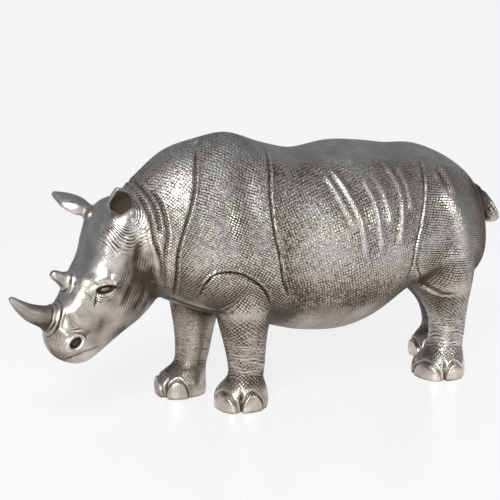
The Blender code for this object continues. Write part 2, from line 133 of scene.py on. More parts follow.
rings = []
for x, belly, widest, back, half, above, below in smooth_steps(trunk_stations, 3):
    shape = section(half, back - widest, widest - belly, above, below)
    rings.append([(x, side, widest + rise) for side, rise in shape])
loft(rings)

# The legs. Four short pillars of the same casting, the right foreleg set a step ahead and the
# right hind leg a step behind, so that the figure stands as if it walked.
# Each row: height, centre along X and Y, half length along X, half width along Y, squareness.
leg_stations = {
    "left_fore": (
        (-1.5, -36, -19, 14.8, 13.8, 2.5),
        (3, -36, -19, 15.6, 14.6, 2.6),
        (10, -35.5, -19, 15, 14, 2.5),
        (14, -34.5, -19, 13, 12.6, 2.3),
        (18.5, -33.5, -19.3, 10.8, 10.8, 2.1),
        (25, -33, -19.6, 11.2, 11.4, 2.0),
        (38, -34, -20, 12.8, 13.2, 2.0),
        (50, -35.5, -21.5, 15, 14.8, 2.0),
        (64, -36, -23, 18.5, 16.5, 2.0),
        (80, -36, -24, 21, 16, 2.0),
        (96, -36, -22, 17, 12, 2.0),
    ),
    "right_fore": (
        (-1.5, -60, 20, 14.6, 13.6, 2.5),
        (3, -60, 20, 15.4, 14.4, 2.6),
        (10, -59.5, 20, 14.8, 13.8, 2.5),
        (14, -57, 20, 12.8, 12.4, 2.3),
        (18.5, -54, 20, 10.6, 10.6, 2.1),
        (25, -52, 20.5, 10.8, 11, 2.0),
        (38, -50.5, 21, 12.4, 12.8, 2.0),
        (50, -49.2, 22, 14.8, 14.6, 2.0),
        (64, -47.6, 23, 18.2, 16, 2.0),
        (80, -45, 24, 20.5, 15.5, 2.0),
        (96, -42, 22, 17, 12, 2.0),
    ),
    "left_hind": (
        (-1.5, 109, -23, 15.4, 14.4, 2.5),
        (3, 109, -23, 16.2, 15.2, 2.6),
        (10, 109.5, -23, 15.6, 14.6, 2.5),
        (15, 111.5, -22.5, 13.6, 13, 2.3),
        (20, 113.5, -22, 11.8, 11.8, 2.1),
        (28, 114.8, -22, 11.6, 12, 2.0),
        (40, 114.4, -22.5, 12.4, 13.2, 2.0),
        (52, 110.8, -23.5, 16.2, 16, 2.0),
        (66, 106, -25, 22.5, 18.5, 2.0),
        (84, 103, -26, 26, 19, 2.0),
        (104, 102, -22, 22, 14, 2.0),
    ),
    "right_hind": (
        (-1.5, 134, 16, 15.4, 14.4, 2.5),
        (3, 134, 16, 16.2, 15.2, 2.6),
        (10, 134, 16, 15.6, 14.6, 2.5),
        (15, 135, 16, 13.8, 13.2, 2.3),
        (20, 137.5, 16.5, 11.8, 12, 2.1),
        (28, 137.5, 17, 11.4, 12.2, 2.0),
        (40, 134.5, 18.5, 12.4, 13.2, 2.0),
        (52, 126.5, 20.5, 16, 15.6, 2.0),
        (66, 114, 23.5, 22.5, 18, 2.0),
        (84, 105, 25.5, 26, 18.5, 2.0),
        (104, 104, 22, 22, 14, 2.0),
    ),
}

for rows in leg_stations.values():
    rings = []
    for z, x, y, half_x, half_y, square in smooth_steps(rows, 2):
        shape = section(half_x, half_y, half_y, square, square)
        rings.append([(x + side, y + rise, z) for side, rise in shape])
    loft(rings)

# The head. It hangs low from the neck and is turned ten degrees to the animal's own left. Its
# frame runs from the poll down to the lips, with the brow on the upper side.
head_turn = math.radians(10)
head_dip = math.radians(67)
forward = Vector((-math.cos(head_turn), -math.sin(head_turn), 0))
leftward = up.cross(forward)
muzzleward = forward * math.cos(head_dip) - up * math.sin(head_dip)
browward = forward * math.sin(head_dip) + up * math.cos(head_dip)
poll = Vector((-90, 0, 126)) + forward * 22

head_stations = (
    (-9, -38, -18, -6, 12, 2.0, 2.0),
    (-2, -47, -17, 2.5, 19.4, 2.4, 2.0),
    (8, -51, -15, 6.2, 22.4, 2.7, 2.0),
    (20, -52, -14, 6, 22, 2.8, 2.1),
    (32, -50.5, -14, 5.2, 20, 2.8, 2.2),
    (44, -47.3, -14, 8, 18.4, 2.5, 2.2),
    (56, -42, -11, 9.6, 16, 2.3, 2.2),
    (66, -34, -8, 11.6, 14.4, 2.3, 2.3),
    (75, -26.5, -6, 12, 15, 2.4, 2.5),
    (82, -20.5, -5, 9.6, 15.4, 2.5, 2.6),
    (88, -15.5, -5, 4.4, 13, 2.5, 2.5),
    (91, -10, -5, 0, 8, 2.2, 2.2),
)


def head_point(along, brow, left):
    """A point of the head's frame, in the figure's own."""
    return poll + muzzleward * along + browward * brow + leftward * left


rings = []
for along, throat, widest, brow, half, above, below in smooth_steps(head_stations, 2):
    shape = section(half, brow - widest, widest - throat, above, below)
    rings.append([head_point(along, widest + rise, side) for side, rise in shape])
loft(rings)

# The horns. Two plain tapered horns in the head's midline, a long one on the nose that curves up
# and a short one behind it, each rising from a thick collar of skin.
# Each row: along the head, towards the brow, radius.
front_horn = (
    (70.6, 5, 9),
    (70.4, 10, 9),
    (70.4, 12.6, 8.2),
    (70.4, 14.6, 6.8),
    (70.5, 21, 5.6),
    (69.8, 26, 4.5),
    (68.4, 31, 3.4),
    (66.6, 35.5, 2.2),
    (65.6, 38, 1.3),
)
rear_horn = (
    (48, 4, 7),
    (47.8, 8.6, 6.6),
    (47.6, 11, 5),
    (47.4, 13.6, 4),
    (46.8, 17, 3.1),
    (46.2, 19.8, 1.8),
)


def horn(rows):
    """A round tapered horn along a curved line in the head's midline."""
    rows = [row[1:] for row in smooth_steps([(10 * i, *row) for i, row in enumerate(rows)], 3)]
    rings = []
    for i, (along, brow, radius) in enumerate(rows):
        before, after = rows[max(i - 1, 0)], rows[min(i + 1, len(rows) - 1)]
        run = Vector((after[0] - before[0], after[1] - before[1])).normalized()
        ring = []
        for side, rise in section(radius, radius, radius, 2, 2):
            ring.append(head_point(along - run.y * rise, brow + run.x * rise, side))
        rings.append(ring)
    loft(rings)


horn(front_horn)
horn(rear_horn)

# The ears. Two leaf-shaped cups with thin walls, the near one turned back and open to the side,
# the far one pricked ahead. They are cast in one with the head.
ear_places = {
    "left_ear": ((5, -4, 15.5), (-7.8, 12.6, 27), (0.35, 1.0, 0.25)),
    "right_ear": ((9, -3, -15.5), (3.6, 20.4, -31), (0.75, -1.0, -0.2)),
}
ear_stations = (
    (0.0, 5.0, 4.5, 4.5),
    (0.22, 6.2, 5.6, 3.8),
    (0.45, 7.8, 5.8, 2.2),
    (0.66, 7.4, 4.6, 2.1),
    (0.84, 5.0, 3.2, 2.3),
    (1.0, 1.6, 1.8, 1.8),
)

for root, tip, open_to in ear_places.values():
    base = head_point(*root)
    length = head_point(*tip) - base
    facing = forward * open_to[0] + leftward * open_to[1] + up * open_to[2]
    across = length.cross(facing).normalized()
    facing = across.cross(length).normalized()
    rings = []
    for share, half, depth, wall in smooth_steps(ear_stations, 0.04):
        ring = []
        for k in range(ring_points):
            t = 4 * k / ring_points
            if t <= 2:
                angle = math.pi * t / 2
                point = across * half * math.cos(angle) - facing * depth * math.sin(angle)
            else:
                angle = math.pi * (4 - t) / 2
                inner = max(half - wall * 0.7, 0.2)
                point = across * inner * math.cos(angle) - facing * (depth - wall) * math.sin(angle)
                point += facing * wall * 0.25
            ring.append(base + length * share + point)
        rings.append(ring)
    loft(rings)

# The tail. A short stub that stands off the rump and flicks to the left.
# Each row: X, Y, Z, radius.
tail_stations = (
    (137, 0, 119, 9.5),
    (145, -5, 117.5, 8),
    (149, -10, 113, 6.6),
    (152, -13, 108.6, 5.6),
    (154.6, -14.5, 103.8, 5.0),
    (155.4, -14.9, 101.4, 4.2),
    (155.8, -15.1, 99.8, 2.6),
)

rows = [row[1:] for row in smooth_steps([(10 * i, *row) for i, row in enumerate(tail_stations)], 3)]
rings = []
for i, (x, y, z, radius) in enumerate(rows):
    run = Vector(rows[min(i + 1, len(rows) - 1)][:3]) - Vector(rows[max(i - 1, 0)][:3])
    side_way = run.cross(up).normalized()
    top_way = side_way.cross(run).normalized()
    shape = section(radius, radius, radius, 2, 2)
    rings.append([Vector((x, y, z)) + side_way * a + top_way * b for a, b in shape])
loft(rings)

# The skin. The masses are melted into one closed skin and softened where legs, neck and head meet
# the trunk, as wet clay is smoothed with a sponge. Horns, ears and toes keep their edges, and the
# head and the feet get a finer skin for the fine tooling.
grain = 0.74
softening_rounds = 57
haunch_rounds = 160
fine_rounds = 3
neck_line = -93
ankle_line = 22
bmesh.ops.recalc_face_normals(clay, faces=clay.faces)
mesh = bpy.data.meshes.new("rhinoceros_casting")
clay.to_mesh(mesh)
clay.free()
casting = bpy.data.objects.new("rhinoceros_casting", mesh)
bpy.context.scene.collection.objects.link(casting)


def settle():
    """Makes what the casting's modifiers do part of its mesh."""
    graph = bpy.context.evaluated_depsgraph_get()
    finished = bpy.data.meshes.new_from_object(casting.evaluated_get(graph))
    casting.modifiers.clear()
    casting.data = finished


def ramp(value, start, end):
    """Nought before the start, one after the end, smooth in between."""
    t = np.clip((value - start) / (end - start), 0, 1)
    return t * t * (3 - 2 * t)


def column(name, width):
    """One property of every vertex as an array."""
    found = np.empty(len(casting.data.vertices) * width, np.float32)
    casting.data.vertices.foreach_get(name, found)
    return found.reshape(-1, width).astype(float)


def head_places(spots):
    """Places in the head's own frame: along, towards the brow, to the left."""
    return (spots - np.array(poll)) @ np.array([muzzleward, browward, leftward]).T


def sponge_down(weight, rounds):
    """Softens the skin where the weight is high."""
    group = casting.vertex_groups.new(name="soft")
    for level in range(1, 21):
        group.add(np.nonzero(np.round(weight * 20) == level)[0].tolist(), level / 20, "REPLACE")
    sponge = casting.modifiers.new("sponge", "SMOOTH")
    sponge.factor = 0.5
    sponge.iterations = rounds
    sponge.vertex_group = "soft"
    settle()
    casting.vertex_groups.clear()


melt = casting.modifiers.new("melt", "REMESH")
melt.mode = "VOXEL"
melt.voxel_size = grain
settle()
spots = column("co", 3)
along, brow, left = head_places(spots).T
tips = np.maximum(ramp(brow - 0.25 * along, 3, 6), ramp(np.abs(left), 19, 23) * (1 - ramp(along, 18, 26)))
firm = tips * (1 - ramp(spots[:, 0], -100, -95))
above_feet = 0.25 + 0.75 * ramp(spots[:, 2], ankle_line, 40)
off_tail = 1 - 0.8 * ramp(spots[:, 0], 148, 152)
sponge_down((1 - firm) * above_feet * off_tail, softening_rounds)
spots = column("co", 3)
haunch = ramp(spots[:, 0], 62, 74) * (1 - ramp(spots[:, 0], 118, 132)) * ramp(spots[:, 2], 66, 76)
haunch = haunch * (1 - ramp(spots[:, 2], 100, 112))
sponge_down(haunch * ramp(np.abs(spots[:, 1]), 18, 28), haunch_rounds)
bm = bmesh.new()
bm.from_mesh(casting.data)
fine_places = {v for v in bm.verts if v.co.x < neck_line or v.co.z < ankle_line}
fine_edges = [e for e in bm.edges if e.verts[0] in fine_places and e.verts[1] in fine_places]
bmesh.ops.subdivide_edges(bm, edges=fine_edges, cuts=1, use_grid_fill=True)
bmesh.ops.triangulate(bm, faces=[f for f in bm.faces if len(f.verts) > 4])
bm.to_mesh(casting.data)
bm.free()
spots = column("co", 3)
in_fine_skin = np.maximum(
    1 - ramp(spots[:, 0], neck_line - 2, neck_line),
    1 - ramp(spots[:, 2], ankle_line - 1, ankle_line + 1),
)
sponge_down(in_fine_skin, fine_rounds)

# The folds of the hide. The modeller laid the armour plates over each other with a wire loop and a
# blunt tool: each seam is a groove with a rolled hem on the plate that lies over.
# Each row: name, depth, width, lip ahead, lip behind, line of (X, Z) in the side view.
flank_folds = (
    ("throat fold", 0.9, 1.3, 0.4, 0.5, ((-99, 134), (-95, 121), (-94, 108), (-91, 97), (-89, 82))),
    ("nape fold", 0.7, 1.3, 0.3, 0.3, ((-98, 142), (-93, 131), (-91, 120), (-91, 110))),
    ("neck fold", 0.8, 1.3, 0.4, 0.5, ((-93, 138), (-88, 127), (-87, 112), (-89, 98), (-86, 77))),
    (
        "collar fold", 1.0, 0.85, 0.15, 0.85,
        ((-60, 158), (-65, 148), (-70, 132), (-78, 113), (-82, 100), (-82, 84), (-80, 72)),
    ),
    (
        "shoulder plate", 1.1, 0.9, 0.2, 0.85,
        ((-17, 156), (-19, 150), (-25, 130), (-26, 112), (-24, 98), (-21, 81), (-14, 67)),
    ),
    (
        "thigh plate", 1.0, 0.85, 0.15, 0.8,
        ((87, 147), (84, 140), (80, 127), (73, 109), (68, 94), (66, 80), (64, 72)),
    ),
    ("hip crease", 0.7, 2.6, 0.3, 0.8, ((96, 141), (98, 132), (99, 122))),
    ("thigh hem", 0.9, 1.2, 0.9, 0.0, ((69, 92), (72, 80), (80, 71), (90, 64), (98, 60), (108, 59.5))),
)
# Each row: rise, width, line.
rib_ridges = (
    (0.6, 1.8, ((12, 143), (16, 130), (20, 118), (24, 106))),
    (0.9, 1.9, ((17, 145), (23, 129), (28, 113), (30, 90))),
    (0.7, 1.8, ((35, 139), (40, 119), (41, 92))),
    (0.4, 1.7, ((43, 141), (48, 124), (49, 108))),
    (0.9, 2.0, ((54, 147), (60, 130), (58, 112), (53, 95))),
    (0.5, 1.8, ((64, 144), (67, 130), (66, 116))),
)
thigh_muscle = ((95, 132), (103, 116), (107, 99), (105, 78))
thigh_muscle_rise, thigh_muscle_width = 1.9, 6.5
belly_roll = ((-20, 72), (-8, 67), (6, 65), (24, 66))
belly_roll_rise, belly_roll_width = 0.8, 3.5
shoulder_valley = ((-35, 156), (-40, 134), (-43, 112), (-41, 96))
valley_depth, valley_width = 1.6, 7
elbow_cut = (1.1, 0.95, 0.2, 1.1)
left_elbow = ((-69, 72), (-66, 83), (-60, 88), (-50, 88), (-40, 83), (-31, 75), (-25, 64))
right_elbow = ((-80, 72), (-76, 83), (-69, 88), (-59, 88), (-50, 83), (-41, 75), (-35, 64))
chest_fold = ((-86, 74), (-79, 71), (-71, 67), (-60, 63), (-50, 62))
haunch_ridge = ((72, 76), (84, 79), (98, 85))
haunch_rise, haunch_width = 1.9, 5
tail_hairs = 7
hair_depth = 0.4
tail_ring_depth = 0.9
rump_cleft_depth, rump_cleft_width = 4.5, 4.5


def line_distance(points, line):
    """Distance of points to a curved line, on which side of it they are, and how far along it."""
    line = np.array(smooth_steps([(10 * i, *p) for i, p in enumerate(line)], 3))[:, 1:]
    best = np.full(len(points), 1e9)
    side = np.zeros(len(points))
    share = np.zeros(len(points))
    for i in range(len(line) - 1):
        run = line[i + 1] - line[i]
        reach = points - line[i]
        t = np.clip(reach @ run / (run @ run), 0, 1)
        gap = reach - t[:, None] * run
        distance = np.sqrt((gap**2).sum(axis=1))
        closer = distance < best
        best = np.where(closer, distance, best)
        turn = run[0] * reach[:, 1] - run[1] * reach[:, 0]
        side = np.where(closer, np.sign(turn), side)
        share = np.where(closer, (i + t) / (len(line) - 1), share)
    return best, side, ramp(share, 0.0, 0.16) * (1 - ramp(share, 0.84, 1.0))


def groove(points, line, depth, width, lip_right=0.0, lip_left=0.0):
    """Outward movement that cuts a groove along a line, with a soft lip on either side."""
    distance, side, fade = line_distance(points, line)
    move = -depth * np.exp(-((distance / width) ** 2))
    lip = np.exp(-(((distance - 1.4 * width) / (0.8 * width)) ** 2))
    move += np.where(side > 0, lip_left, lip_right) * lip
    return move * fade


spots = column("co", 3)
normals = column("normal", 3)
flank = spots[:, [0, 2]]
trunk_only = ramp(spots[:, 0], -106, -98) * ramp(spots[:, 2], 50, 58)
move = np.zeros(len(spots))
for _, depth, width, lip_front, lip_rear, line in flank_folds:
    move += groove(flank, line, depth, width, lip_front, lip_rear) * trunk_only
for rise, width, line in rib_ridges:
    move += groove(flank, line, -rise, width)
move += groove(flank, thigh_muscle, -thigh_muscle_rise, thigh_muscle_width)
move += groove(flank, belly_roll, -belly_roll_rise, belly_roll_width)
from_valley, _, _ = line_distance(flank, shoulder_valley)
valley = valley_depth * np.exp(-((from_valley / valley_width) ** 2))
move -= valley * ramp(flank[:, 1], 92, 126) * (1 - ramp(flank[:, 1], 138, 160))
outside = ramp(np.abs(spots[:, 1]), 18, 28)
near_elbow = groove(flank, left_elbow, *elbow_cut)
far_elbow = groove(flank, right_elbow, *elbow_cut)
move += np.where(spots[:, 1] < 0, near_elbow, far_elbow) * outside
move += groove(flank, chest_fold, 0.7, 1.4, 0.0, 1.0) * ramp(spots[:, 2], 56, 60)
from_haunch, _, _ = line_distance(flank, haunch_ridge)
move += haunch_rise * np.exp(-((from_haunch / haunch_width) ** 2)) * outside
tail_way = np.array(tail_stations[4][:3]) - tail_stations[1][:3]
tail_share = (spots - tail_stations[1][:3]) @ tail_way / (tail_way @ tail_way)
off_tail = spots - tail_stations[1][:3] - np.clip(tail_share, 0, 1.1)[:, None] * tail_way
round_tail = np.arctan2(off_tail[:, 1] + off_tail[:, 2] * 0.3, off_tail[:, 0] + off_tail[:, 2] * 0.6)
hair = np.sin(tail_hairs * round_tail)
in_tail = ramp(tail_share, 0.35, 0.6) * (np.linalg.norm(off_tail, axis=1) < 7.5) * (spots[:, 0] > 149)
move += (hair_depth * hair + hair_depth / 2) * in_tail
tail_ring = np.exp(-(((tail_share - 0.12) / 0.09) ** 2)) * (np.linalg.norm(off_tail, axis=1) < 10)
move -= tail_ring_depth * tail_ring
rump_cleft = np.exp(-((spots[:, 1] / rump_cleft_width) ** 2)) * ramp(spots[:, 0], 118, 136)
move -= rump_cleft_depth * rump_cleft * ramp(spots[:, 2], 50, 62) * (1 - ramp(spots[:, 2], 84, 104))

# The face. A round eye sits between rolled lids under a heavy brow, the nostrils are slanting pits
# with a raised rim, and the mouth is a cut that turns up behind the nostril. Both sides are alike.
brow_ridge = ((44.5, 0.5), (41.5, -1), (40, -4.5), (40, -8), (42, -12))
mouth = ((90, 1), (86, -2.5), (82, -7), (79, -12), (76, -16.5))
cheek_fold = ((56, -20), (46, -20), (34, -20), (22, -15), (12, -12))
jaw_fold = ((54, -29), (43, -30), (33, -28), (23, -23))
tear_line = ((47.5, -3.5), (50, -3.2), (53, -3.6), (57, -4.5))
muzzle_ridge = ((73, 10), (74.5, 7), (76, 4))
muzzle_hollow = ((64, 8), (68, 3), (71, -2), (73, -7))
# Each row: line, depth, or less than nought for a ridge, width, lips.
face_folds = (
    (brow_ridge, -1.7, 3.0, 0.0),
    (muzzle_ridge, -0.9, 1.5, 0.0),
    (muzzle_hollow, 0.9, 2.2, 0.0),
    (tear_line, 0.9, 0.9, 0.2),
    (mouth, 0.35, 0.9, 0.1),
    (cheek_fold, 0.6, 2.2, 0.3),
    (jaw_fold, 0.6, 2.2, 0.3),
)
eye_place = (45.6, -6.6)
eye_slant = (0.5, 0.866)
eye_half_length = 4.0
eye_half_height = 1.9
lid_crease_depth = 1.7
socket_depth = 1.5
lid_rise = 0.8
nostril_place = (78.4, -0.8)
nostril_slant = (0.86, 0.51)
nostril_half_length = 4.0
nostril_half_width = 2.6
nostril_depth = 3.2
nostril_rim_rise = 0.6
nostril_flare_rise = 0.15


def oval(face, place, slant, half_length, half_width):
    """How far out places lie from an oval's middle: one on its edge."""
    reach = face - np.array(place)
    lengthwise = reach @ np.array(slant)
    sideways = reach @ np.array((-slant[1], slant[0]))
    return np.hypot(lengthwise / half_length, sideways / half_width)


in_head = head_places(spots)
along, brow, left = in_head.T
face = in_head[:, :2]
beside = ramp(np.abs(left), 4, 9)
in_front = (1 - ramp(brow - 0.2 * along, 14, 18)) * ramp(along, 2, 8) * ramp(brow, -50, -44)
in_front = in_front * (1 - ramp(spots[:, 0], -96, -92))
eye = oval(face, eye_place, eye_slant, eye_half_length, eye_half_height)
nostril = oval(face, nostril_place, nostril_slant, nostril_half_length, nostril_half_width)
lid_crease = lid_crease_depth * np.exp(-(((eye - 1.0) / 0.3) ** 2))
face_move = -lid_crease - socket_depth * np.exp(-((eye / 2.0) ** 2))
above_eye = ramp(brow * eye_slant[0] - along * eye_slant[1], -43.4, -42.2)
face_move += lid_rise * above_eye * np.exp(-(((eye - 1.8) / 0.4) ** 2))
face_move -= nostril_depth * (1 - ramp(nostril, 0.5, 1.1))
nostril_rim = nostril_rim_rise * np.exp(-(((nostril - 1.4) / 0.25) ** 2))
face_move += nostril_rim + nostril_flare_rise * np.exp(-(((nostril - 2.0) / 0.3) ** 2))
for line, depth, width, lip in face_folds:
    face_move += groove(face, line, depth, width, lip, lip)
move += face_move * beside * in_front

# The feet. Each foot has three toes with broad nails, raised above the skin and parted by clefts.
# Each row: centre along X and Y, direction of the middle toe in degrees, radius.
feet = {
    "left_fore": (-36, -19, 196, 15.6),
    "right_fore": (-60, 20, 164, 15.4),
    "left_hind": (109, -23, 200, 16.2),
    "right_hind": (134, 16, 164, 16.2),
}
toes = ((0, 40), (76, 27), (-76, 27))
clefts = (48, -48)
nail_height = 11.5
nail_rise = 1.2
nail_line_depth = 0.7
cuticle_rise = 0.35
cleft_depth, cleft_width = 2.2, 1.1

for x, y, heading, radius in feet.values():
    away = spots[:, :2] - (x, y)
    reach = np.hypot(away[:, 0], away[:, 1])
    turn = np.degrees(np.arctan2(away[:, 1], away[:, 0])) - heading
    turn = (turn + 180) % 360 - 180
    z = spots[:, 2]
    near = ramp(reach, 6, 10) * (1 - ramp(reach, radius + 6, radius + 10))
    toe_move = np.zeros(len(spots))
    for middle, half in toes:
        rim = np.sqrt(((turn - middle) / half) ** 2 + (np.clip(z, 0, None) / nail_height) ** 2)
        nail_line = nail_line_depth * np.exp(-(((rim - 1.03) / 0.05) ** 2))
        toe_move += nail_rise * (1 - ramp(rim, 0.88, 0.98)) - nail_line
        toe_move += cuticle_rise * np.exp(-(((rim - 1.17) / 0.08) ** 2))
    for middle in clefts:
        across = np.radians(turn - middle) * radius
        toe_move -= cleft_depth * np.exp(-((across / cleft_width) ** 2)) * (1 - ramp(z, 9, 15))
    move += toe_move * near

# The wrinkles. Fine strokes of a pointed tool run in families: rings round the ear roots, eyes and
# horns, long lines down the cheeks, short ones on the muzzle, and rings round the ankles.
jaw_back = ((82, 97, 108, 121, 134, 150), (-89, -91, -94, -95, -99, -104))
wrinkle_depth = 0.62
ear_ring_pitch = 1.45
cheek_pitch = 1.5
under_lid_pitch = 1.1
over_lid_pitch = 1.3
nostril_pitch = 1.4
muzzle_pitch = 1.5
horn_ring_pitch = 2.2
ankle_pitch = 2.3


def wrinkles(spots):
    """A count that goes up by one from wrinkle to wrinkle, and how strong the wrinkles are."""
    x, y, z = spots.T
    in_head = head_places(spots)
    along, brow, left = in_head.T
    side = np.abs(left)
    on_head = 1 - ramp(x - np.interp(z, *jaw_back), -2.5, 0.5)
    drift = 0.5 * np.sin(along / 5.1 + brow / 7.3) + 0.35 * np.sin(brow / 3.7 - along / 8.9)
    drift += 0.25 * np.sin(along / 2.1 + brow / 2.9)
    off_ear = np.ones(len(spots))
    for root, tip, _ in ear_places.values():
        way = np.array(tip) - root
        t = np.clip((in_head - root) @ way / (way @ way), 0.12, 1)
        off_ear *= ramp(np.linalg.norm(in_head - root - t[:, None] * way, axis=1), 4.5, 7)
    families = []

    ring = np.hypot((along - 2) / 1.25, brow + 1)
    count = (ring + 0.4 * (brow + 14) * ramp(brow, -18, 2) * ramp(along, 0, 16)) / ear_ring_pitch
    strong = ramp(ring, 4.5, 6.0) * (1 - ramp(ring, 13, 23)) * ramp(side, 8, 13) * (1 - ramp(brow, 3, 7))
    families.append((count + drift * 0.6, strong * off_ear))

    squeeze = np.interp(along, (10, 22, 36, 62), (0.62, 0.76, 1.0, 1.08))
    down = -brow / squeeze
    strong = ramp(down, 10, 14) * (1 - ramp(down, 33, 38)) * ramp(along, 16, 26) * (1 - ramp(along, 50, 62))
    families.append((down / cheek_pitch + drift * 0.35, strong * ramp(side, 5, 9) * 0.6))

    lid = oval(in_head[:, :2], eye_place, eye_slant, 1.35, 1.0)
    under_lid = ramp(along - 0.8 * brow, 47, 53)
    strong = ramp(lid, 3.4, 4.2) * (1 - ramp(lid, 6, 9.5)) * under_lid * beside_head(side)
    families.append((lid / under_lid_pitch + drift * 0.4, strong * 0.85))

    over_lid = ramp(lid, 3.2, 3.8) * (1 - ramp(lid, 4.6, 5.6)) * (1 - ramp(along - 0.8 * brow, 44, 50))
    families.append((lid / over_lid_pitch, over_lid * beside_head(side) * 0.7))

    flare = oval(in_head[:, :2], nostril_place, nostril_slant, 1.3, 1.0)
    strong = ramp(flare, 4.0, 4.8) * (1 - ramp(flare, 7.0, 9)) * ramp(brow + 0.8 * (78 - along), 1, 5)
    families.append((flare / nostril_pitch + drift * 0.5, strong * beside_head(side) * 0.5))

    round_muzzle = np.arctan2(side, brow + 3) * 12
    strong = ramp(along, 72, 77) * (1 - ramp(along, 90, 95)) * ramp(flare, 5.5, 7.5) * ramp(brow, -4, 0)
    families.append((round_muzzle / muzzle_pitch + drift * 0.4, strong * 0.5))

    for rows, room, lowest, highest in ((front_horn, 9, 8.5, 15.5), (rear_horn, 6.5, 8, 12)):
        off_axis = np.hypot(along - rows[0][0], left)
        strong = ramp(brow, lowest - 1.5, lowest) * (1 - ramp(brow, highest - 2, highest))
        strong = strong * (1 - ramp(off_axis, room + 0.5, room + 3))
        families.append(((brow - 0.15 * off_axis) / horn_ring_pitch + drift * 0.15, strong))

    families = [(count, strong * on_head) for count, strong in families]

    for name, rows in leg_stations.items():
        rows = np.array(rows)
        middle_x = np.interp(z, rows[:, 0], rows[:, 1])
        middle_y = np.interp(z, rows[:, 0], rows[:, 2])
        turn = np.arctan2(y - middle_y, x - middle_x)
        close = 1 - ramp(np.hypot(x - middle_x, y - middle_y), 20, 24)
        top = 46 if "fore" in name else 42
        strong = ramp(z, 18, 22) * (1 - ramp(z, top - 6, top + 4)) * close
        wave = 0.35 * np.sin(2 * turn + len(name)) + 0.25 * np.sin(5 * turn) + 0.3 * np.sin(z / 3.1)
        broken = 0.5 + 0.5 * np.sin(3 * turn + 1.9 * np.round(z / ankle_pitch + wave))
        near_side = 1.1 if rows[0, 2] < 0 else 0.4
        families.append((z / ankle_pitch + wave, strong * ramp(broken, 0.05, 0.7) * near_side))

    best = np.zeros(len(spots))
    second = np.zeros(len(spots))
    count = np.zeros(len(spots))
    for found, strong in families:
        wins = strong > best
        second = np.where(wins, best, np.maximum(second, strong))
        count = np.where(wins, found, count)
        best = np.where(wins, strong, best)
    return count, np.clip(best - second * 0.8, 0, 1)


def beside_head(side):
    """One on the sides of the head, nought in its midline."""
    return ramp(side, 3, 7)


count, strong = wrinkles(spots)
off_line = np.abs((count + 0.5) % 1 - 0.5)
strength = 0.65 + 0.35 * np.sin(count.round() * 2.4 + spots[:, 2] / 4)
fine_skin = np.where((spots[:, 0] < neck_line) | (spots[:, 2] < ankle_line), 1.0, 0.6)
move -= wrinkle_depth * strong * strength * fine_skin * (np.exp(-((off_line / 0.2) ** 2)) - 0.3)
spots += normals * move[:, None]
casting.data.vertices.foreach_set("co", spots.ravel())
casting.data.update()

# The finished skin. The soles are ground flat, so that the casting stands without rocking, and the
# mesh keeps its points where the form turns and loses them where it is smooth.
most_triangles = 192000
bm = bmesh.new()
bm.from_mesh(casting.data)
parts = bm.verts[:] + bm.edges[:] + bm.faces[:]
cut = bmesh.ops.bisect_plane(
    bm, geom=parts, dist=1e-4, plane_co=(0, 0, 0), plane_no=(0, 0, -1), clear_outer=True
)
rims = [e for e in cut["geom_cut"] if isinstance(e, bmesh.types.BMEdge)]
bmesh.ops.holes_fill(bm, edges=rims, sides=0)
bmesh.ops.triangulate(bm, faces=bm.faces)
bmesh.ops.translate(bm, vec=(nose_room, 0, 0), verts=bm.verts)
bmesh.ops.scale(bm, vec=(part, part, part), verts=bm.verts)
bmesh.ops.recalc_face_normals(bm, faces=bm.faces)
count = len(bm.faces)
bm.to_mesh(casting.data)
bm.free()
fewer = casting.modifiers.new("fewer", "DECIMATE")
fewer.ratio = min(1, most_triangles / count)
settle()
casting.data.shade_smooth()

# The antique silver finish. Silver leaf over dark undercoat: bright and worn on what stands proud,
# brown patina wiped into every fold, and a fine net of lines pressed into the thick hide.
mesh = casting.data
spots = column("co", 3) / part - (nose_room, 0, 0)
ends = np.empty(len(mesh.edges) * 2, np.int32)
mesh.edges.foreach_get("vertices", ends)
ends = ends.reshape(-1, 2)
reached = np.bincount(ends.ravel(), minlength=len(spots))


def spread(values, rounds):
    """Each vertex's values, evened out with its neighbours' a number of times."""
    for _ in range(rounds):
        total = np.zeros_like(values)
        for k in range(values.shape[1]):
            total[:, k] = np.bincount(ends[:, 0], values[ends[:, 1], k], len(values))
            total[:, k] += np.bincount(ends[:, 1], values[ends[:, 0], k], len(values))
        values = 0.5 * values + 0.5 * total / reached[:, None]
    return values


def paint(name, values):
    """Keeps one value for every vertex under a name for the finish to use."""
    layer = mesh.attributes.new(name, "FLOAT", "POINT")
    layer.data.foreach_set("value", values.astype(np.float32))


normals = column("normal", 3)
x, y, z = spots.T
side = np.abs(y)
fine = ((spots - spread(spots, 8)) * normals).sum(axis=1)
broad = ((spots - spread(spots, 80)) * normals).sum(axis=1)
hollow = np.clip(-fine * 4, 0, 1) * 0.5 + np.clip(-broad * 0.8, 0, 1) * 0.5
raised = np.clip(fine * 5, 0, 1) * 0.5 + np.clip(broad * 0.9, 0, 1) * 0.5
paint("hollow", spread(hollow[:, None], 3)[:, 0])
paint("raised", spread(raised[:, None], 3)[:, 0])
count, strong = wrinkles(spots)
paint("wrinkle", count)
paint("wrinkled", strong)

